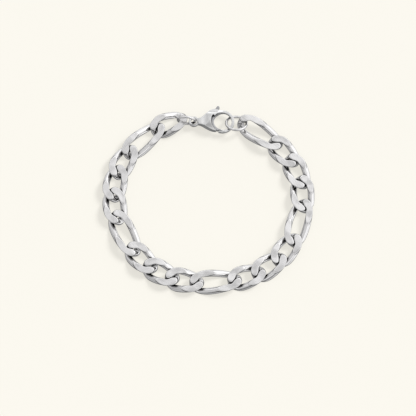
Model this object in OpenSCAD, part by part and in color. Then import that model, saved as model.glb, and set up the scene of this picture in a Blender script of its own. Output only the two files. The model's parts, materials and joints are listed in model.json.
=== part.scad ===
// Link bracelet with a lobster clasp, closed and lying flat on a surface.
// Millimetres. The clasp is at +Y, +Z is up, and the origin is on the surface under the middle.

/* [Links] */
// Width over a link
link_w = 9; // [8.6:0.1:10]
// Diameter of the links' wire
wire_d = 2.5; // [2.2:0.05:2.55]
// Swelling of the pressed wire on the inside of a link's corners
corner_swell = 0.35; // [0:0.05:0.4]
// Length over a short link
short_len = 14.5; // [14:0.1:17]
// Length over a long link
long_len = 19.1; // [17:0.1:24]
// Straight stretch of wire across each end of a link
end_flat = 1; // [0.9:0.1:1.6]
// Twist of a link between its two ends, in degrees
link_twist = 98; // [94:1:100]
// Thickness of the chain between its ground faces
chain_t = 2.8; // [2.6:0.1:3.2]
// Play between two links where one passes through the other
link_play = 0.34; // [0.3:0.02:0.5]

/* [Jump rings] */
// Diameter of the jump rings' wire
ring_wire_d = 0.95; // [0.7:0.05:1]
// Outer diameter of the ring at the eye
eye_ring_od = 7.35; // [7.2:0.05:9]
// Lean of the ring at the eye from upright, in degrees
eye_ring_lean = 0; // [0:1:20]
// Outer diameter of the ring in the claw
claw_ring_od = 8.55; // [8.3:0.05:10]
// Lean of the ring in the claw from upright, in degrees
claw_ring_lean = 62; // [58:1:65]

/* [Clasp] */
// Distance from the middle of the hook's opening to the middle of the eye
clasp_len = 10.6; // [10:0.1:14]
// Radius of the hook's opening
hook_r = 3.45; // [3.4:0.05:3.8]
// Width of the claw, seen from above
claw_w = 1; // [0.8:0.05:1.3]
// Thickness of the claw
claw_t = 1.2; // [1.1:0.05:1.4]
// Thickness of the clasp's body
body_t = 3.8; // [3.4:0.1:4.4]
// Width of the body's neck beside the eye
neck_w = 2.4; // [2:0.1:3.2]
// Radius of the eye's hole
eye_r = 1.15; // [1.1:0.05:1.4]
// Width of the metal round the eye's hole
eye_wall = 0.8; // [0.6:0.05:1.2]
// Thickness of the eye and the neck
eye_t = 1.2; // [1:0.05:1.5]

/* [Lever] */
// Thickness of the lever
lever_t = 1.2; // [1.1:0.05:1.4]
// Width of the lever's gate
gate_w = 0.95; // [0.8:0.05:1.1]
// Radius of the lever's hub
hub_r = 1; // [0.9:0.05:1.1]
// Distance from the pin to the tip of the thumb tab
tab_len = 3.3; // [3:0.1:4]
// Width of the thumb tab's tip
tab_w = 1.1; // [0.8:0.05:1.3]
// Width of the thumb tab at the hub
tab_root_w = 1.2; // [0.9:0.05:1.4]
// Radius of the pin
pin_r = 0.4; // [0.3:0.02:0.5]
// Gap between the lever and the slot's walls
lever_gap = 0.12; // [0.1:0.01:0.2]
// Gap round the pin in the lever
pin_gap = 0.05; // [0.03:0.01:0.08]
// Angle that the lever opens by, in degrees
lever_swing = 17; // [12:1:17]

/* [Hidden] */
$fn = 64;
link_count = 18;
steel = "silver";

// Where each link heads along the loop, in degrees, from the link at the eye to the link at the claw
link_headings = [202, 222, 242, 261, 279, 296, 314, 332, 349,
                 364, 378, 395, 414, 434, 453, 472, 490, 505];

// Every fourth link is a long one, from the second
function is_long(i) = i % 4 == 1;
function half_len(i) = ((is_long(i) ? long_len : short_len) - wire_d) / 2;
half_w = (link_w - wire_d) / 2;
corner_r = half_w - end_flat / 2;
corner_steps = 4;
rail_steps = 4;
wire_sides = 10;
link_z = chain_t / 2;
// Keeps the edges of a tilted link's ground face off the surface
rest_gap = 0.02;

// Middle line of a link's wire before the twist, round a rounded rectangle: [x, y, swelling]
function corner(cx, cy, from) = [
    for (k = [0 : corner_steps])
        let (a = from + 90 * k / corner_steps)
            [cx + corner_r * cos(a), cy + corner_r * sin(a), corner_swell * abs(sin(2 * a))]];
function rail(x0, x1, y) = [
    for (k = [1 : rail_steps - 1]) [x0 + (x1 - x0) * k / rail_steps, y, 0]];
function flat_path(half) =
    let (cx = half - corner_r, cy = half_w - corner_r)
        concat(corner(cx, -cy, -90), corner(cx, cy, 0), rail(cx, -cx, half_w),
               corner(-cx, cy, 90), corner(-cx, -cy, 180), rail(-cx, cx, -half_w));

// The twist turns each cross section of the link about its length
function twist_at(x, half) = -link_twist / 2 * x / half;
function twisted(x, u, f) = [x, u * cos(f), u * sin(f)];
function unit(v) = v / norm(v);

// Points of the wire: a ring of them at each station of the path, round but for the swelling
function wire_points(half) =
    let (path = flat_path(half),
         n = len(path),
         mid = [for (p = path) twisted(p[0], p[1], twist_at(p[0], half))])
        [for (i = [0 : n - 1])
            let (along = unit(mid[(i + 1) % n] - mid[(i + n - 1) % n]),
                 outward = unit(cross(along, [0, 0, 1])),
                 down = cross(along, outward))
                for (k = [0 : wire_sides - 1])
                    let (a = 360 * k / wire_sides,
                         inner_r = cos(a) < 0 ? wire_d / 2 + path[i][2] : wire_d / 2)
                        mid[i] + inner_r * cos(a) * outward + wire_d / 2 * sin(a) * down];

// Two triangles between each pair of neighbours round the loop
function wire_faces(n) = [
    for (i = [0 : n - 1], k = [0 : wire_sides - 1])
        let (a = i * wire_sides + k,
             b = i * wire_sides + (k + 1) % wire_sides,
             c = ((i + 1) % n) * wire_sides + (k + 1) % wire_sides,
             d = ((i + 1) % n) * wire_sides + k)
            for (face = [[a, d, c], [a, c, b]]) face];

// The first and the last link each lie with one end up on the wire of a jump ring
function tilt_at(i) = i == 0 ? 4.5 : i == link_count - 1 ? -3.5 : 0;
function tilted(p, t) = [p[0] * cos(t) + p[2] * sin(t), p[1], p[2] * cos(t) - p[0] * sin(t)];
function ground(p) = [p[0], p[1], max(p[2], -link_z)];
function height_at(i) =
    rest_gap * abs(sign(tilt_at(i)))
    - min([for (p = wire_points(half_len(i))) tilted(ground(p), tilt_at(i))[2]]);

// The chain's route: each link turns about the hinge that it shares with the one before
function reach(i) = half_len(i) - wire_d / 2 - link_play / 2;
function flat_reach(i) = reach(i) * cos(tilt_at(i));
function heading(i, extra) = link_headings[i] + extra * (i - (link_count - 1) / 2);
function dir(a) = [cos(a), sin(a)];
function hinge(i, extra) =
    i == 0 ? [0, 0] : hinge(i - 1, extra) + 2 * flat_reach(i - 1) * dir(heading(i - 1, extra));
first_hinge_z = height_at(0) + reach(0) * sin(tilt_at(0));
last_hinge_z = height_at(link_count - 1) - reach(link_count - 1) * sin(tilt_at(link_count - 1));

// A leaning ring rests on the surface, and this is its half width at a height z
function ring_z(od, lean) = (od - ring_wire_d) / 2 * cos(lean) + ring_wire_d / 2;
function half_chord(od, lean, z) =
    sqrt(pow((od - ring_wire_d) / 2, 2) - pow((z - ring_z(od, lean)) / cos(lean), 2));

// Extra room that each ring needs along the loop beside its neighbours, which it passes at a slant
claw_ring_ease = -0.03;
hook_ease = 1.52;
eye_ease = 0.13;
eye_ring_ease = -0.14;
// How far each ring and the eye sit towards the inside of the loop
claw_ring_shift = 0.2;
eye_shift = 0.6;
eye_ring_shift = 0.8;
// Middle height of the clasp, which lies on the rising wire of the ring in its claw
clasp_rise = 0.65;
clasp_z = ring_wire_d + claw_t / 2 + clasp_rise;

// Places along the closing line, from the last link's hinge to the first link's
ring_seat = (ring_wire_d + link_play) / 2;
claw_ring_at = half_chord(claw_ring_od, claw_ring_lean, last_hinge_z) - ring_seat - claw_ring_ease;
hook_at = claw_ring_at + half_chord(claw_ring_od, claw_ring_lean, clasp_z)
    + hook_r - ring_wire_d / 2 - hook_ease;
eye_at = hook_at + sqrt(pow(clasp_len, 2) - pow(eye_shift, 2));
eye_ring_at = eye_at + half_chord(eye_ring_od, eye_ring_lean, clasp_z) - eye_ease;
closing_len = eye_ring_at + half_chord(eye_ring_od, eye_ring_lean, first_hinge_z)
    - ring_seat - eye_ring_ease;

// The same small extra turn at every hinge closes the loop on the clasp and its rings
function solve_extra(lo, hi, n) =
    let (m = (lo + hi) / 2)
        n == 0 ? m
        : norm(hinge(link_count, m)) > closing_len ? solve_extra(m, hi, n - 1)
        : solve_extra(lo, m, n - 1);
extra = solve_extra(-4, 4, 30);
closing_from = hinge(link_count, extra);
closing_heading = atan2(-closing_from[1], -closing_from[0]);

// Middle of each link, before the whole is centred
centres = [
    for (i = [0 : link_count - 1]) hinge(i, extra) + flat_reach(i) * dir(heading(i, extra))];
function turned(p, a) = [p[0] * cos(a) - p[1] * sin(a), p[0] * sin(a) + p[1] * cos(a)];
outline = [
    for (i = [0 : link_count - 1], p = wire_points(half_len(i)))
        centres[i] + turned(tilted(p, tilt_at(i)), heading(i, extra))];

// The clasp's own frame has the hook's middle at 0, its nose at +X and its thumb tab at +Y
pin_at = [-3.05, 3.3];
tab_heading = 59;
claw_r = hook_r + claw_w;
gate_in = hook_r - 0.25;
gate_out = gate_in + gate_w;
// Angles round the hook: where the claw leaves the body and ends, and the gate's two ends
claw_from = 110;
claw_end = 262;
gate_from = 134;
gate_to = 260;
// Where the claw's lip starts, which the gate's tip closes against from inside
lip_from = 250;
// The gate's tip and the room for it end on arcs about the pin, so the tip swings past the lip
tip_room_r = norm(hook_r * dir(claw_end) - pin_at);
tip_r = tip_room_r - lever_gap;
// Where the slot for the gate starts, and where the cheeks on both sides of it stop
slot_from = 124;
cheek_from = 146;
tab_room = asin((tab_root_w / 2 + lever_gap) / (hub_r + lever_gap));
clasp_turn = closing_heading + 180 + asin(eye_shift / clasp_len);
hook_xy = closing_from + hook_at * dir(closing_heading);
tab_top = hook_xy[1] + turned(pin_at + (tab_len - tab_w / 2) * dir(tab_heading), clasp_turn)[1]
    + tab_w / 2;

// The origin is under the middle of the whole bracelet
middle_x = (min([for (p = outline) p[0]]) + max([for (p = outline) p[0]])) / 2;
middle_y = (min([for (p = outline) p[1]]) + tab_top) / 2;

module link(i) {
    color(steel)
    translate([centres[i][0] - middle_x, centres[i][1] - middle_y, height_at(i)])
    rotate([0, tilt_at(i), heading(i, extra)])
    intersection() {
        polyhedron(wire_points(half_len(i)), wire_faces(len(flat_path(half_len(i)))), convexity = 6);
        cube([long_len * 2, link_w * 2, chain_t], center = true);
    }
}

// Puts its children on the closing line, with +X along it and +Y towards the inside of the loop
module on_closing_line(along, shift = 0) {
    translate([closing_from[0] - middle_x, closing_from[1] - middle_y, 0])
    rotate([0, 0, closing_heading])
    translate([along, shift, 0])
    children();
}

module in_clasp_frame() {
    translate([hook_xy[0] - middle_x, hook_xy[1] - middle_y, clasp_z])
    rotate([0, 0, clasp_turn])
    children();
}

// A jump ring, with its top leaning to +Y by the given angle from upright
module jump_ring(od, lean) {
    color(steel)
    translate([0, 0, ring_z(od, abs(lean))])
    rotate([90 - lean, 0, 0])
    rotate_extrude()
    translate([(od - ring_wire_d) / 2, 0])
    circle(d = ring_wire_d);
}

module eye_ring() on_closing_line(eye_ring_at, eye_ring_shift) jump_ring(eye_ring_od, -eye_ring_lean);

module claw_ring() on_closing_line(claw_ring_at, claw_ring_shift) jump_ring(claw_ring_od, claw_ring_lean);

// A wedge of the plane, from one angle to another, to cut or keep part of a round shape
module wedge(from, to, r) {
    polygon(concat([[0, 0]], [for (k = [0 : 12]) r * dir(from + (to - from) * k / 12)]));
}

module ring_sector(r0, r1, from, to) {
    intersection() {
        difference() {
            circle(r = r1);
            circle(r = r0);
        }
        wedge(from, to, r1 * 2);
    }
}

// Eases from 0 to 1 with a soft start and a soft end
function ease(s) = (1 - cos(180 * s)) / 2;
// One edge of the pear shape, from the neck to the shoulder
function flare(x0, y0, x1, y1, steps) = [
    for (k = [0 : steps]) [x0 + (x1 - x0) * k / steps, y0 + (y1 - y0) * ease(k / steps)]];
function backwards(list) = [for (k = [len(list) - 1 : -1 : 0]) list[k]];
flare_steps = 8;
neck_x = -clasp_len + eye_r + eye_wall / 2;
// The body is widest at its shoulder and its jaw, and thickest between the two stations of its bulge
shoulder = [-2.7, claw_r + 0.5];
jaw = [-2.3, -claw_r + 0.6];
brow = [-1.2, claw_r];
bulge = [-4.6, -3.4];
claw_from_x = 1.6;
// The body's dome across its length: its middle, its half width, and its edge's share of the height
dome_y = (shoulder[1] + jaw[1]) / 2;
dome_half = (shoulder[1] - jaw[1]) / 2;
dome_edge = 0.5;
dome_steps = 14;

module body_outline() {
    polygon(concat(
        flare(neck_x, neck_w / 2, shoulder[0], shoulder[1], flare_steps),
        [brow, [0, 0]],
        backwards(flare(neck_x, -neck_w / 2, jaw[0], jaw[1], flare_steps))));
}

// The body seen from the side: it swells from the neck to the bulge and thins to the claw
module side_outline() {
    top = concat(flare(-clasp_len, eye_t / 2, bulge[0], body_t / 2, flare_steps),
                 flare(bulge[1], body_t / 2, claw_from_x, claw_t / 2, flare_steps),
                 [[claw_r * 2, claw_t / 2]]);
    polygon(concat(top, [for (p = backwards(top)) [p[0], -p[1]]]));
}

// The body seen along its length: a low dome on each side
module dome_outline() {
    arch = [for (k = [0 : dome_steps])
        let (a = 180 * k / dome_steps)
            [dome_y + dome_half * cos(a), body_t / 2 * (dome_edge + (1 - dome_edge) * sin(a))]];
    top = concat([[claw_r * 2, body_t / 2 * dome_edge]], arch, [[-claw_r * 2, body_t / 2 * dome_edge]]);
    polygon(concat(top, [for (p = backwards(top)) [p[0], -p[1]]]));
}

// The sector that the gate fills, cut off by an arc about the pin
module gate_sector(r0, r1, from, to, end_r) {
    intersection() {
        ring_sector(r0, r1, from, to);
        translate(pin_at) circle(r = end_r);
    }
}

// The room that the lever turns in, between the body's two cheeks
module slot_outline() {
    translate(pin_at) {
        circle(r = hub_r + lever_gap);
        wedge(tab_heading - tab_room, tab_heading + lever_swing + tab_room, tab_len * 2);
    }
    gate_sector(gate_in - lever_gap, gate_out + lever_gap, slot_from, claw_end, tip_room_r);
}

slot_t = lever_t + 2 * lever_gap;
// How far the pin reaches into each cheek, and the room round it and past its ends
pin_seat = 0.5;
seat_gap = 0.02;

module clasp_body() {
    color(steel)
    in_clasp_frame()
    difference() {
        union() {
            intersection() {
                linear_extrude(body_t, center = true) {
                    difference() {
                        union() {
                            body_outline();
                            ring_sector(hook_r, claw_r, lip_from - 360, claw_from);
                        }
                        circle(r = hook_r);
                        gate_sector(0, gate_out + lever_gap, cheek_from, claw_end, tip_room_r);
                    }
                }
                rotate([90, 0, 0])
                linear_extrude(claw_r * 4, center = true)
                side_outline();
                rotate([90, 0, 90])
                linear_extrude(clasp_len * 4, center = true)
                dome_outline();
            }
            translate([-clasp_len, 0, 0])
            cylinder(r = eye_r + eye_wall, h = eye_t, center = true);
        }
        translate([-clasp_len, 0, 0])
        cylinder(r = eye_r, h = eye_t * 2, center = true);
        linear_extrude(slot_t, center = true)
        slot_outline();
        translate(pin_at)
        cylinder(r = pin_r + seat_gap, h = slot_t + 2 * (pin_seat + seat_gap), center = true);
    }
}

module clasp_lever() {
    color(steel)
    in_clasp_frame()
    linear_extrude(lever_t, center = true)
    difference() {
        union() {
            translate(pin_at) circle(r = hub_r);
            gate_sector(gate_in, gate_out, gate_from, gate_to, tip_r);
            translate(pin_at) rotate(tab_heading) {
                polygon([[0, -tab_root_w / 2], [tab_len - tab_w / 2, -tab_w / 2],
                         [tab_len - tab_w / 2, tab_w / 2], [0, tab_root_w / 2]]);
                translate([tab_len - tab_w / 2, 0]) circle(d = tab_w);
            }
        }
        translate(pin_at) circle(r = pin_r + pin_gap);
    }
}

module clasp_pin() {
    color(steel)
    in_clasp_frame()
    translate(pin_at)
    cylinder(r = pin_r, h = slot_t + 2 * pin_seat, center = true);
}

for (i = [0 : link_count - 1])
    link(i);
eye_ring();
claw_ring();
clasp_body();
clasp_lever();
clasp_pin();
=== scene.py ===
import json
import math

import bmesh
import bpy
from mathutils import Matrix, Vector

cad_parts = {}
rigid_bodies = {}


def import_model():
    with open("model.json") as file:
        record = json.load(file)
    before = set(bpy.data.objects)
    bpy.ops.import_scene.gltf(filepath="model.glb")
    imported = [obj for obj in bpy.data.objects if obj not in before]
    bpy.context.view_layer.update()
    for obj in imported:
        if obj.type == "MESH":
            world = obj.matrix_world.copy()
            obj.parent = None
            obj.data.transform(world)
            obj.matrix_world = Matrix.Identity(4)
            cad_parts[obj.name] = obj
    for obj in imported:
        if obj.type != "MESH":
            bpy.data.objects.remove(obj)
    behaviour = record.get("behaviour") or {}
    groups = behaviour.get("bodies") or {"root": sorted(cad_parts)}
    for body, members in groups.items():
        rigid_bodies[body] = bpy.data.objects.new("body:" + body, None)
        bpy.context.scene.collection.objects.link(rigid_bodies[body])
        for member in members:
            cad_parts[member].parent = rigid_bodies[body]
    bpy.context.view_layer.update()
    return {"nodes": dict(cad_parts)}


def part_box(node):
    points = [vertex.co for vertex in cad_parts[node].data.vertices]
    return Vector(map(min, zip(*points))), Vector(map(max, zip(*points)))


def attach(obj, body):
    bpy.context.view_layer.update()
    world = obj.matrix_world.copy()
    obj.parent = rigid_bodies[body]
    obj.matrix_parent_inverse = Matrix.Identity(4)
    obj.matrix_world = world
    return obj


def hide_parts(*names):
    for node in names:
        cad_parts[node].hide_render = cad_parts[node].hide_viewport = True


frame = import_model()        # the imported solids: every piece below stands for one of them
metres = Matrix.Scale(0.001, 4)        # pieces are modelled in millimetres


# sRGB hex to the linear colour that the shader takes
def linear(code):
    channels = [int(code[i:i + 2], 16) / 255 for i in (1, 3, 5)]
    return [c / 12.92 if c <= 0.04045 else ((c + 0.055) / 1.055) ** 2.4 for c in channels] + [1.0]


def addNode(tree, kind, settings=None, links=None, values=None):
    node = tree.nodes.new(kind)
    for name, value in (settings or {}).items():
        setattr(node, name, value)
    for name, value in (values or {}).items():
        node.inputs[name].default_value = value
    for name, socket in (links or {}).items():
        tree.links.new(socket, node.inputs[name])
    return node


def remap(tree, value, span, result, settings=None):
    return addNode(tree, "ShaderNodeMapRange", settings, {"Value": value}, {
        "From Min": span[0], "From Max": span[1], "To Min": result[0], "To Max": result[1]}).outputs["Result"]


def compute(tree, operation, first, second, clamp=False):
    return addNode(tree, "ShaderNodeMath", {"operation": operation, "use_clamp": clamp},
                   {0: first, 1: second}).outputs["Value"]


def newMaterial(name):
    material = bpy.data.materials.new(name)
    material.use_nodes = True
    material.node_tree.nodes.clear()
    return material, material.node_tree


# ---- materials

# What all the steel shares; patterns are in millimetres, the heights of their relief in metres
steelFinish = {
    "hazePatch": 2.5,           # between clearer and hazier places
    "hazeSpan": (0.3, 0.7),     # the part of the noise that is used
    "wave": 4.5,                # hand buffing leaves a face very slightly wavy
    "waveHeight": 0.0006,
    "grit": 0.35,               # real polishing lines are finer: drawn coarse enough to show
    "gritHeight": 0.00002,
    "paintedShadeReach": 1.6,           # painted shade: the colour goes dark in seams and gaps narrower than this, found by ambient occlusion
    "paintedShadeSpan": (0.32, 0.76),   # how open a place is where the painted shade is full, and where there is none
    "paintedShadeSamples": 8,
    # the dark colour that the painted shade mixes in, in seams and along the ground faces' edges
    "paintedShadeTint": "#1e1e20",
}

# Ground, then buffed: a softer mirror than the wire, with a slight wave and the lines of the belt
groundFace = {
    "depth": 0.04,              # mm; a face ground deeper than this is all flat
    "roughness": 0.16,
    "waviness": 0.9,
    "streaks": 0.7,
    "streak": (5.0, 0.5),       # mm along and across a line of the belt: finer in life
    "streakHeight": 0.00005,
    "paintedRim": (-0.45, -0.135),     # mm of depth; a painted dark reflection: a dark line just outside the face's edge, where the buffed edge mirrors the dark room, drawn wider than in life
    "paintedRimStrength": 0.9,
    "paintedRimSteep": (0.8, 0.92),       # upward share of the normal: the painted dark line is on the sides alone
}

finishes = {
    # stainless steel, a pale and nearly neutral grey, tumbled until it mirrors with a slight haze
    "link": {"tint": "#cecdcd", "roughness": 0.08, "spread": 0.04, "waviness": 0.10, "lines": 0.08},
    "ring": {"tint": "#cecdcd", "roughness": 0.08, "spread": 0.03, "waviness": 0.06, "lines": 0.1},
    # the clasp's casting is a little darker and less clear, and its lever, only tumbled, darker again
    "clasp": {"tint": "#c4c4c4", "roughness": 0.12, "spread": 0.05, "waviness": 0.25, "lines": 0.12},
    "lever": {"tint": "#a3a3a5", "roughness": 0.12, "spread": 0.05, "waviness": 0.25, "lines": 0.12},
}


# Polished stainless steel, which gives the eye clear dark and light stripes; shade is painted into its colour in
# seams, and on a link a dark line along each ground face's edge.
# On a link the map "cut" tells how deep the wheel went, and "grain" how the link lay under it.
def polishedSteel(name, finish, ground=None):
    material, tree = newMaterial(name)
    coordinates = addNode(tree, "ShaderNodeTexCoord")
    place = addNode(tree, "ShaderNodeVectorMath", {"operation": "SCALE"}, {0: coordinates.outputs["Object"]},
                    {"Scale": 1000}).outputs["Vector"]
    if ground:
        lying = addNode(tree, "ShaderNodeSeparateXYZ", links={
            "Vector": addNode(tree, "ShaderNodeUVMap", {"uv_map": "grain"}).outputs["UV"]})
        deep = addNode(tree, "ShaderNodeSeparateXYZ", links={
            "Vector": addNode(tree, "ShaderNodeUVMap", {"uv_map": "cut"}).outputs["UV"]})
        level = addNode(tree, "ShaderNodeSeparateXYZ", links={"Vector": place})
        place = addNode(tree, "ShaderNodeCombineXYZ", links={
            "X": lying.outputs["X"], "Y": lying.outputs["Y"], "Z": level.outputs["Z"]}).outputs["Vector"]

    def noise(size, detail, where=place):
        return addNode(tree, "ShaderNodeTexNoise", links={"Vector": where}, values={
            "Scale": 1 / size, "Detail": detail, "Roughness": 0.6}).outputs["Fac"]

    def onGround(wire, flat, span=(0.0, groundFace["depth"])):
        return remap(tree, deep.outputs["X"], span, (wire, flat))

    haze = remap(tree, noise(steelFinish["hazePatch"], 4.0), steelFinish["hazeSpan"],
                 (finish["roughness"] - finish["spread"], finish["roughness"] + finish["spread"]))
    wave = addNode(tree, "ShaderNodeBump", links={"Height": noise(steelFinish["wave"], 0.0)}, values={
        "Strength": finish["waviness"], "Distance": steelFinish["waveHeight"]})
    grit = addNode(tree, "ShaderNodeBump", values={
        "Strength": finish["lines"], "Distance": steelFinish["gritHeight"]}, links={
        "Height": noise(steelFinish["grit"], 3.0), "Normal": wave.outputs["Normal"]})
    normal = grit.outputs["Normal"]
    if ground:
        haze = compute(tree, "ADD", haze, onGround(0.0, ground["roughness"] - finish["roughness"]))
        tree.links.new(onGround(finish["waviness"], ground["waviness"]), wave.inputs["Strength"])
        along, across = ground["streak"]
        belt = addNode(tree, "ShaderNodeMapping", {"vector_type": "POINT"}, {"Vector": place},
                       {"Scale": (1 / along, 1 / across, 1)}).outputs["Vector"]
        normal = addNode(tree, "ShaderNodeBump", values={"Distance": ground["streakHeight"]}, links={
            "Strength": onGround(0.0, ground["streaks"]), "Height": noise(1.0, 2.0, belt),
            "Normal": normal}).outputs["Normal"]
    # painted shade: the colour is mixed towards a dark tint where ambient occlusion finds seams and narrow gaps
    occlusion = addNode(tree, "ShaderNodeAmbientOcclusion", {"samples": steelFinish["paintedShadeSamples"]},
                   {"Normal": normal}, {"Distance": steelFinish["paintedShadeReach"] / 1000}).outputs["AO"]
    unshaded = remap(tree, occlusion, steelFinish["paintedShadeSpan"], (0.0, 1.0))
    if ground:
        # painted dark reflection: the colour goes dark in a band of the steep wire just outside each ground
        # face's edge
        paintedRim = compute(tree, "MULTIPLY", onGround(0.0, ground["paintedRimStrength"], ground["paintedRim"]), onGround(1.0, 0.0))
        facing = addNode(tree, "ShaderNodeSeparateXYZ", links={"Vector": coordinates.outputs["Normal"]})
        upright = addNode(tree, "ShaderNodeMath", {"operation": "ABSOLUTE"}, {0: facing.outputs["Z"]})
        paintedRimSteep = remap(tree, upright.outputs["Value"], ground["paintedRimSteep"], (1.0, 0.0))
        unshaded = compute(tree, "SUBTRACT", unshaded, compute(tree, "MULTIPLY", paintedRim, paintedRimSteep), clamp=True)
    colour = addNode(tree, "ShaderNodeMix", {"data_type": "RGBA"}, {"Factor": unshaded})
    colour.inputs[6].default_value = linear(steelFinish["paintedShadeTint"])
    colour.inputs[7].default_value = linear(finish["tint"])
    shader = addNode(tree, "ShaderNodeBsdfPrincipled", values={"Metallic": 1.0}, links={
        "Base Color": colour.outputs[2], "Roughness": haze, "Normal": normal})
    addNode(tree, "ShaderNodeOutputMaterial", links={"Surface": shader.outputs["BSDF"]})
    return material


linkSteel = polishedSteel("tumbledAndGroundSteel", finishes["link"], groundFace)
ringSteel = polishedSteel("drawnSteelRingWire", finishes["ring"])
claspSteel = polishedSteel("castAndPolishedSteel", finishes["clasp"])
leverSteel = polishedSteel("castAndTumbledSteel", finishes["lever"])
print("materials done")


# ---- links

link = {
    "width": 9.0,
    "wire": 2.5,
    "kinds": {"short": {"length": 14.5, "railSteps": 24}, "long": {"length": 19.1, "railSteps": 36}},
    "order": ["short", "long", "short", "short"],       # over and over round the loop
    "endFlat": 1.0,            # straight stretch of wire across each end
    "twist": 98.0,             # degrees from end to end
    "thickness": 2.8,          # between the two ground faces
    "swell": 0.35,             # the press pushes the wire into the inside of each corner
    "cornerSteps": 20,
    "sides": 96,
    "edgeSoft": 0.06,          # the buffed edge of a ground face is about four times this wide
    "edgeReach": 12,           # how many times this the wheel's pull is felt below the face
    "root": 0.35,              # share of the wire between its middle and the point that it is ground towards
    "headings": [202, 222, 242, 261, 279, 296, 314, 332, 349, 364, 378, 395, 414, 434, 453, 472, 490, 505],
    "extraTurn": 0.0442753,    # of each link on from the one before, which closes the loop
    "tilts": {0: 4.5, 17: -3.5},           # the two end links lean on their jump rings
    "grainStep": (11.3, 5.7),  # mm that the pattern moves from link to link: no two are buffed alike
}


# Stations round a link's wire before the twist: x, y, swelling
def linkPath(half, railSteps):
    halfWidth = (link["width"] - link["wire"]) / 2
    radius = halfWidth - link["endFlat"] / 2
    cx, cy = half - radius, halfWidth - radius
    stations = []

    def corner(x, y, start):
        for k in range(link["cornerSteps"] + 1):
            a = math.radians(start + 90 * k / link["cornerSteps"])
            stations.append((x + radius * math.cos(a), y + radius * math.sin(a),
                             link["swell"] * abs(math.sin(2 * a))))

    def rail(x0, x1, y):
        for k in range(1, railSteps):
            stations.append((x0 + (x1 - x0) * k / railSteps, y, 0.0))

    corner(cx, -cy, -90)
    corner(cx, cy, 0)
    rail(cx, -cx, halfWidth)
    corner(-cx, cy, 90)
    corner(-cx, -cy, 180)
    rail(-cx, cx, -halfWidth)
    return stations


# Draws a point of the wire back to the ground face over it; returns it with the depth that the wheel took off
def grind(point, mid, down):
    depth = -1.0
    level, soft = link["thickness"] / 2, link["edgeSoft"]
    for side in (1, -1):
        root = mid + down * (side * link["root"] * link["wire"])
        z, rootZ = point.z * side, root.z * side
        depth = max(depth, z - level)
        if z > level - link["edgeReach"] * soft and z > rootZ:
            target = level - soft * math.log1p(math.exp((level - z) / soft))
            point = root + (point - root) * ((target - rootZ) / (z - rootZ))
    return point, depth


# Draws the wire along its closed line, fuller on its inner side where it is swelled, and grinds it flat
def sweepWire(bm, mids, swells):
    count, radius = len(mids), link["wire"] / 2
    cut = bm.verts.layers.float.new("cut")
    ring = bmesh.ops.create_circle(bm, segments=link["sides"], radius=radius)["verts"]
    profile = [(v.co.x, v.co.y) for v in ring]

    def shape(ring, i):
        along = (mids[(i + 1) % count] - mids[i - 1]).normalized()
        outward = along.cross(Vector((0, 0, 1))).normalized()
        down = along.cross(outward)
        for vert, (x, y) in zip(ring, profile):
            x = x * (1 + swells[i] / radius) if x < 0 else x
            vert.co, vert[cut] = grind(mids[i] + outward * x + down * y, mids[i], down)

    shape(ring, 0)
    edges = list(bm.edges)
    for i in list(range(1, count)) + [0]:
        grown = bmesh.ops.extrude_edge_only(bm, edges=edges)["geom"]
        newVerts = [g for g in grown if isinstance(g, bmesh.types.BMVert)]
        partner = {}
        for vert in newVerts:
            for e in vert.link_edges:
                other = e.other_vert(vert)
                if other in ring:
                    partner[other] = vert
        ring = [partner[v] for v in ring]
        shape(ring, i)
        edges = [g for g in grown if isinstance(g, bmesh.types.BMEdge)
                 and g.verts[0] in ring and g.verts[1] in ring]
    bmesh.ops.remove_doubles(bm, verts=bm.verts[:], dist=1e-5)
    return cut


def linkMesh(kind):
    half = (kind["length"] - link["wire"]) / 2
    path = linkPath(half, kind["railSteps"])
    mids = []
    for x, y, _ in path:
        f = math.radians(-link["twist"] / 2 * x / half)
        mids.append(Vector((x, y * math.cos(f), y * math.sin(f))))
    bm = bmesh.new()
    cut = sweepWire(bm, mids, [s for _, _, s in path])
    bmesh.ops.recalc_face_normals(bm, faces=bm.faces[:])
    grain = bm.loops.layers.uv.new("grain")
    depth = bm.loops.layers.uv.new("cut")
    for f in bm.faces:
        f.smooth = True
        for corner in f.loops:
            corner[grain].uv = corner.vert.co.xy
            corner[depth].uv = (corner.vert[cut], 0)
    return bm


def addPiece(name, bm, materials):
    mesh = bpy.data.meshes.new(name)
    bm.to_mesh(mesh)
    bm.free()
    for material in materials:
        mesh.materials.append(material)
    piece = bpy.data.objects.new(name, mesh)
    bpy.context.scene.collection.objects.link(piece)
    return piece


# Fits a turned piece, in metres, to its node's box: the node has fewer sides, so it is a hair smaller
def settle(bm, node):
    low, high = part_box(node)
    ends = [(min(values), max(values)) for values in zip(*[v.co for v in bm.verts])]
    fit = [min(1.0, (high[k] - low[k]) / (b - a)) for k, (a, b) in enumerate(ends)]
    bmesh.ops.scale(bm, vec=fit, verts=bm.verts[:])
    shift = [(low[k] + high[k]) / 2 - fit[k] * (a + b) / 2 for k, (a, b) in enumerate(ends)]
    bmesh.ops.translate(bm, vec=shift, verts=bm.verts[:])


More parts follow.
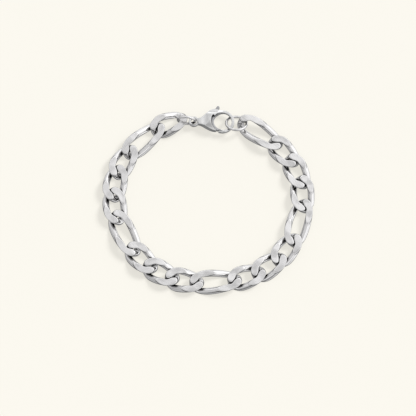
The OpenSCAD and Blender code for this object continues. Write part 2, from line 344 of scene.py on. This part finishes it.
for kind in link["kinds"]:
    pattern = linkMesh(link["kinds"][kind])
    for i, base in enumerate(link["headings"]):
        if link["order"][i % len(link["order"])] != kind:
            continue
        node = f"link_{i + 1:02d}"
        bm = pattern.copy()
        grain = bm.loops.layers.uv["grain"]
        for corner in [c for f in bm.faces for c in f.loops]:
            corner[grain].uv += Vector(link["grainStep"]) * i
        heading = math.radians(base + link["extraTurn"] * (i - (len(link["headings"]) - 1) / 2))
        tilt = math.radians(link["tilts"].get(i, 0))
        turn = Matrix.Rotation(heading, 4, "Z") @ Matrix.Rotation(tilt, 4, "Y")
        bmesh.ops.transform(bm, matrix=metres @ turn, verts=bm.verts[:])
        settle(bm, node)
        piece = addPiece(f"curbLink{i + 1:02d}", bm, [linkSteel])
        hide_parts(node)
        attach(piece, "bracelet")
    pattern.free()
print("links done")


# ---- jump rings

jumpRing = {
    "wire": 0.95,
    "steps": 128,
    "sides": 28,
    "heading": 176.263,
    # outer diameter, and degrees that the ring leans over from upright
    "pieces": {"eye_ring": {"outer": 7.35, "lean": 0.0}, "claw_ring": {"outer": 8.55, "lean": 62.0}},
}

for node, ring in jumpRing["pieces"].items():
    bm = bmesh.new()
    section = (Matrix.Translation(((ring["outer"] - jumpRing["wire"]) / 2, 0, 0))
               @ Matrix.Rotation(math.pi / 2, 4, "X"))
    bmesh.ops.create_circle(bm, segments=jumpRing["sides"], radius=jumpRing["wire"] / 2, matrix=section)
    bmesh.ops.spin(bm, geom=bm.verts[:] + bm.edges[:], cent=(0, 0, 0), axis=(0, 0, 1), angle=2 * math.pi,
                   steps=jumpRing["steps"], use_merge=True)
    bmesh.ops.remove_doubles(bm, verts=bm.verts[:], dist=1e-5)
    bmesh.ops.recalc_face_normals(bm, faces=bm.faces[:])
    turn = (Matrix.Rotation(math.radians(jumpRing["heading"]), 4, "Z")
            @ Matrix.Rotation(math.radians(90 - ring["lean"]), 4, "X"))
    bmesh.ops.transform(bm, matrix=metres @ turn, verts=bm.verts[:])
    settle(bm, node)
    for f in bm.faces:
        f.smooth = True
    piece = addPiece("jumpRing" + node.split("_")[0].capitalize(), bm, [ringSteel])
    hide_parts(node)
    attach(piece, "bracelet")
print("jump rings done")


# ---- clasp

clasp = {
    "length": 10.6,            # middle of the hook's opening to the middle of the eye
    "hook": 3.45,              # radius of the opening
    "claw": 4.45,              # outer radius of the claw
    "clawThickness": 1.2,
    "thickness": 3.8,
    "neck": 2.4,
    "eye": 1.15,
    "eyeWall": 0.8,
    "eyeThickness": 1.2,
    "shoulder": (-2.7, 4.95),
    "jaw": (-2.3, -3.85),
    "brow": (-1.2, 4.45),
    "bulge": (-4.6, -3.4),     # the body is thickest between these two stations
    "clawStart": 1.6,
    "domeEdge": 0.33,          # height of the body's edge, as a share of its middle
    "clawArc": (-110, 110),    # degrees round the hook
    "slotArc": (124, 262),
    "cheekArc": (146, 262),
    "turn": -0.492,
    "grain": 0.06,             # size of the voxels that the casting's soft edges are made from
    "soften": 30,
    # the body is what its outline, its side view and its dome have in common; the last two are larger blocks
    "sideWidth": 20,
    "domeLength": 40,
    "through": 9,              # thicker than the clasp, for what cuts right through, and past the claw's end
}

lever = {
    "gate": (3.2, 4.15),       # inner and outer radius
    "gateArc": (134, 260),
    "thickness": 1.2,
    "gap": 0.12,               # between the lever and the body's slot
    "pin": (-3.05, 3.3),
    "pinHole": 0.45,           # radius
    "hub": 1.0,
    "tabHeading": 59.0,
    "tabLength": 3.3,
    "tabRoot": 1.2,
    "tabTip": 1.1,
    "swing": 17.0,
    "grain": 0.05,
    "soften": 20,
}
lipAngle = math.radians(clasp["cheekArc"][1])
lip = Vector((clasp["hook"] * math.cos(lipAngle), clasp["hook"] * math.sin(lipAngle)))
tipRoom = (lip - Vector(lever["pin"])).length      # the gate's tip passes the lip on an arc about the pin


def arc(radius, start, end, steps=48):
    return [(radius * math.cos(math.radians(start + (end - start) * k / steps)),
             radius * math.sin(math.radians(start + (end - start) * k / steps))) for k in range(steps + 1)]


def flare(x0, y0, x1, y1, steps=24):
    return [(x0 + (x1 - x0) * k / steps, y0 + (y1 - y0) * (1 - math.cos(math.pi * k / steps)) / 2)
            for k in range(steps + 1)]


# A flat shape with the given outline, made thick both ways from its middle
def slab(points, thickness, turn=Matrix(), at=(0, 0)):
    bm = bmesh.new()
    ring = bmesh.ops.create_circle(bm, cap_ends=True, segments=len(points), radius=1)["verts"]
    for vert, (x, y) in zip(ring, points):
        vert.co = (x + at[0], y + at[1], -thickness / 2)
    grown = bmesh.ops.extrude_face_region(bm, geom=bm.faces[:])["geom"]
    bmesh.ops.translate(bm, vec=(0, 0, thickness), verts=[g for g in grown if isinstance(g, bmesh.types.BMVert)])
    bmesh.ops.recalc_face_normals(bm, faces=bm.faces[:])
    bmesh.ops.transform(bm, matrix=turn, verts=bm.verts[:])
    return addPiece("shape", bm, [])


def disc(radius, thickness, at=(0, 0), sides=96):
    return slab(arc(radius, 0, 360 - 360 / sides, sides - 1), thickness, at=at)


def sector(inner, outer, arcRange, thickness, limit=None):
    back = arc(inner, arcRange[1], arcRange[0]) if inner else [(0, 0)]
    shape = slab(arc(outer, *arcRange) + back, thickness)
    if limit:
        carve(shape, [("INTERSECT", disc(limit, thickness * 2, lever["pin"]))])
    return shape


# Adds a boolean for each shape, in order
def carve(base, steps):
    for operation, shape in steps:
        tool = base.modifiers.new(operation.lower(), "BOOLEAN")
        tool.operation = operation
        tool.object = shape
        tool.solver = "EXACT"
        shape.hide_render = True


# Melts a shape's hard edges, places it, and clears away everything that it was made from
def cast(base, casting, name, node, body, material):
    melt = base.modifiers.new("melt", "REMESH")
    melt.mode = "VOXEL"
    melt.voxel_size = casting["grain"]
    relax = base.modifiers.new("relax", "SMOOTH")
    relax.factor = 0.5
    relax.iterations = casting["soften"]
    bpy.context.view_layer.update()
    bm = bmesh.new()
    bm.from_object(base, bpy.context.evaluated_depsgraph_get())
    for shape in [o for o in bpy.data.objects if o.name.startswith("shape")]:
        bpy.data.objects.remove(shape)
    low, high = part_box("clasp_pin")
    turn = Matrix.Rotation(math.radians(clasp["turn"]), 4, "Z")
    pin = turn @ Vector((*lever["pin"], 0)) * 0.001
    bmesh.ops.transform(bm, matrix=Matrix.Translation((low + high) / 2 - pin) @ turn @ metres, verts=bm.verts[:])
    for f in bm.faces:
        f.smooth = True
    piece = addPiece(name, bm, [material])
    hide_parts(node)
    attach(piece, body)


neckX = -clasp["length"] + clasp["eye"] + clasp["eyeWall"] / 2
plan = slab(flare(neckX, clasp["neck"] / 2, *clasp["shoulder"]) + [clasp["brow"], (0, 0)]
            + flare(neckX, -clasp["neck"] / 2, *clasp["jaw"])[::-1], clasp["thickness"])
top = (flare(-clasp["length"], clasp["eyeThickness"] / 2, clasp["bulge"][0], clasp["thickness"] / 2)
       + flare(clasp["bulge"][1], clasp["thickness"] / 2, clasp["clawStart"], clasp["clawThickness"] / 2)
       + [(clasp["through"], clasp["clawThickness"] / 2)])
side = slab(top + [(x, -z) for x, z in top[::-1]], clasp["sideWidth"], Matrix.Rotation(math.pi / 2, 4, "X"))
domeY = (clasp["shoulder"][1] + clasp["jaw"][1]) / 2
domeHalf = (clasp["shoulder"][1] - clasp["jaw"][1]) / 2
edge = clasp["thickness"] / 2 * clasp["domeEdge"]
arch = ([(clasp["through"], edge)]
        + [(domeY + domeHalf * x, edge + (clasp["thickness"] / 2 - edge) * z) for x, z in arc(1, 0, 180)]
        + [(-clasp["through"], edge)])
dome = slab(arch + [(y, -z) for y, z in arch[::-1]], clasp["domeLength"],
            Matrix.Rotation(math.pi / 2, 4, "Z") @ Matrix.Rotation(math.pi / 2, 4, "X"))
slotHeight = lever["thickness"] + 2 * lever["gap"]
tabRoom = math.degrees(math.asin((lever["tabRoot"] / 2 + lever["gap"]) / (lever["hub"] + lever["gap"])))
tabWedge = [(0, 0)] + arc(lever["tabLength"] * 2, lever["tabHeading"] - tabRoom,
                          lever["tabHeading"] + lever["swing"] + tabRoom, steps=12)
carve(plan, [
    ("UNION", sector(clasp["hook"], clasp["claw"], clasp["clawArc"], clasp["thickness"])),
    ("DIFFERENCE", disc(clasp["hook"], clasp["through"])),
    ("DIFFERENCE", sector(0, lever["gate"][1] + lever["gap"], clasp["cheekArc"], clasp["through"], tipRoom)),
    ("INTERSECT", side),
    ("INTERSECT", dome),
    ("UNION", disc(clasp["eye"] + clasp["eyeWall"], clasp["eyeThickness"], (-clasp["length"], 0))),
    ("DIFFERENCE", disc(clasp["eye"], clasp["through"], (-clasp["length"], 0))),
    ("DIFFERENCE", disc(lever["hub"] + lever["gap"], slotHeight, lever["pin"])),
    ("DIFFERENCE", slab(tabWedge, slotHeight, at=lever["pin"])),
    ("DIFFERENCE", sector(lever["gate"][0] - lever["gap"], lever["gate"][1] + lever["gap"], clasp["slotArc"],
                          slotHeight, tipRoom)),
])
cast(plan, clasp, "claspBody", "clasp_body", "bracelet", claspSteel)

hub = disc(lever["hub"], lever["thickness"], lever["pin"])
reach = lever["tabLength"] - lever["tabTip"] / 2
tip = [(reach + x, y) for x, y in arc(lever["tabTip"] / 2, -90, 90, steps=16)]
tab = slab([(0, -lever["tabRoot"] / 2)] + tip + [(0, lever["tabRoot"] / 2)], lever["thickness"],
           Matrix.Translation((*lever["pin"], 0)) @ Matrix.Rotation(math.radians(lever["tabHeading"]), 4, "Z"))
carve(hub, [
    ("UNION", sector(*lever["gate"], lever["gateArc"], lever["thickness"], tipRoom - lever["gap"])),
    ("UNION", tab),
    ("DIFFERENCE", disc(lever["pinHole"], clasp["through"], lever["pin"])),
])
cast(hub, lever, "claspLever", "clasp_lever", "lever", leverSteel)
pinMesh = frame["nodes"]["clasp_pin"].data
pinMesh.materials.clear()
pinMesh.materials.append(claspSteel)
print("clasp done")


# ---- camera, light and floor

view = {
    "elevation": 70.0,
    "distance": 0.785,
    "target": (-0.0002, -0.0035, 0.0014),
    "width": 0.367 * 416 / 1000,      # metres across the picture at the target: 0.367 mm for each pixel
    "sensor": 36,
    "near": 0.01,
}
el = math.radians(view["elevation"])
cameraData = bpy.data.cameras.new("camera")
cameraData.sensor_width = view["sensor"]
cameraData.lens = view["sensor"] * view["distance"] / view["width"]
cameraData.clip_start = view["near"]
camera = bpy.data.objects.new("camera", cameraData)
camera.location = Vector(view["target"]) + view["distance"] * Vector((0, -math.cos(el), math.sin(el)))
camera.rotation_euler = (math.pi / 2 - el, 0, 0)
bpy.context.scene.collection.objects.link(camera)
bpy.context.scene.camera = camera

studio = {
    "floorSize": 4.0,
    "floorColour": "#fbf8ef",
    "floorGlow": 0.711,        # share of the floor's brightness that comes from the lit table under it
    "floorCloud": 0.004,       # how far that goes up and down from place to place
    "cloudScale": 25.0,
    "floorWhite": 0.11,        # what the opal sheet adds of the light that falls on it
    "keyFrom": (1.04, 0.56, 1.0),
    "keyPower": 7.5,
    "keyAngle": 22.0,          # degrees across: soft enough for a pale, blurred shadow
    # brightness of the tent against the height looked at, from -1 straight down: the first two are the dark
    # under the table
    "tent": [(-1.0, 0.35), (-0.66, 0.28), (-0.52, 1.15), (-0.03, 1.1), (0.01, 0.5), (0.06, 0.5), (0.12, 1.25),
             (0.34, 1.3), (0.5, 1.0), (0.62, 1.0), (0.66, 1.9), (0.7, 1.9), (0.75, 1.1), (0.86, 1.22),
             (0.94, 1.04), (1.0, 0.7)],
    "tentTilt": (0.4, 0.15, 0.0),      # the side that it is brighter towards, and by how much
    "tentFolds": 4.0,          # folds of the cloth round the tent
    "foldSpan": (0.35, 0.65),
    "foldDepth": (0.8, 1.2),
    "room": (0.0, -0.996, 0.09),       # the tent is open towards the camera, and the room there is dark
    "roomReach": (0.8, 0.97),          # cosines of where the opening ends and where it is full
    "roomShade": 0.36,
}

floorMaterial, tree = newMaterial("opalLightTable")        # lit from below, so shadows on it stay pale
cloud = addNode(tree, "ShaderNodeTexNoise", values={"Scale": studio["cloudScale"], "Detail": 1.0}, links={
    "Vector": addNode(tree, "ShaderNodeTexCoord").outputs["Object"]})
glow = remap(tree, cloud.outputs["Fac"], (0.0, 1.0), (studio["floorGlow"] - studio["floorCloud"],
                                                      studio["floorGlow"] + studio["floorCloud"]))
colour = linear(studio["floorColour"])
shader = addNode(tree, "ShaderNodeBsdfPrincipled", links={"Emission Strength": glow}, values={
    "Base Color": [c * studio["floorWhite"] for c in colour[:3]] + [1], "Roughness": 1.0,
    "Specular IOR Level": 0.0, "Emission Color": colour})
addNode(tree, "ShaderNodeOutputMaterial", links={"Surface": shader.outputs["BSDF"]})

bm = bmesh.new()
bmesh.ops.create_grid(bm, x_segments=1, y_segments=1, size=studio["floorSize"] / 2)
floor = addPiece("floor", bm, [floorMaterial])
floor.visible_glossy = False        # the steel mirrors the tent's lower part instead, which draws its outlines

keyData = bpy.data.lights.new("key", "SUN")
keyData.energy = studio["keyPower"]
keyData.angle = math.radians(studio["keyAngle"])
key = bpy.data.objects.new("key", keyData)
key.rotation_euler = Vector(studio["keyFrom"]).to_track_quat("Z", "Y").to_euler()
key.visible_glossy = False
bpy.context.scene.collection.objects.link(key)

world = bpy.data.worlds.new("softTent")
bpy.context.scene.world = world
world.use_nodes = True
tree = world.node_tree
tree.nodes.clear()
direction = addNode(tree, "ShaderNodeTexCoord").outputs["Generated"]


def towards(axis):
    return addNode(tree, "ShaderNodeVectorMath", {"operation": "DOT_PRODUCT"}, {0: direction},
                   {1: axis}).outputs["Value"]


height = addNode(tree, "ShaderNodeSeparateXYZ", links={"Vector": direction}).outputs["Z"]
rise = addNode(tree, "ShaderNodeValToRGB", links={"Fac": remap(tree, height, (-1.0, 1.0), (0.0, 1.0))})
for k, (rung, brightness) in enumerate(studio["tent"]):
    place = (rung + 1) / 2
    stop = rise.color_ramp.elements[k] if k < 2 else rise.color_ramp.elements.new(place)
    stop.position = place
    stop.color = [brightness / 2] * 3 + [1]        # a ramp holds no more than 1, so the strength doubles it
strength = addNode(tree, "ShaderNodeMath", {"operation": "MULTIPLY_ADD"}, {0: towards(studio["tentTilt"])},
                   {1: 2.0, 2: 2.0}).outputs["Value"]
cloth = addNode(tree, "ShaderNodeTexNoise", links={"Vector": direction}, values={
    "Scale": studio["tentFolds"], "Detail": 1.0})
folds = remap(tree, cloth.outputs["Fac"], studio["foldSpan"], studio["foldDepth"])
shade = remap(tree, towards(studio["room"]), studio["roomReach"], (1.0, studio["roomShade"]),
              {"interpolation_type": "SMOOTHSTEP"})
strength = compute(tree, "MULTIPLY", compute(tree, "MULTIPLY", strength, folds), shade)
light = addNode(tree, "ShaderNodeBackground", links={"Color": rise.outputs["Color"], "Strength": strength})
addNode(tree, "ShaderNodeOutputWorld", links={"Surface": light.outputs["Background"]})
bpy.context.scene.view_settings.view_transform = "Standard"
print("studio done")
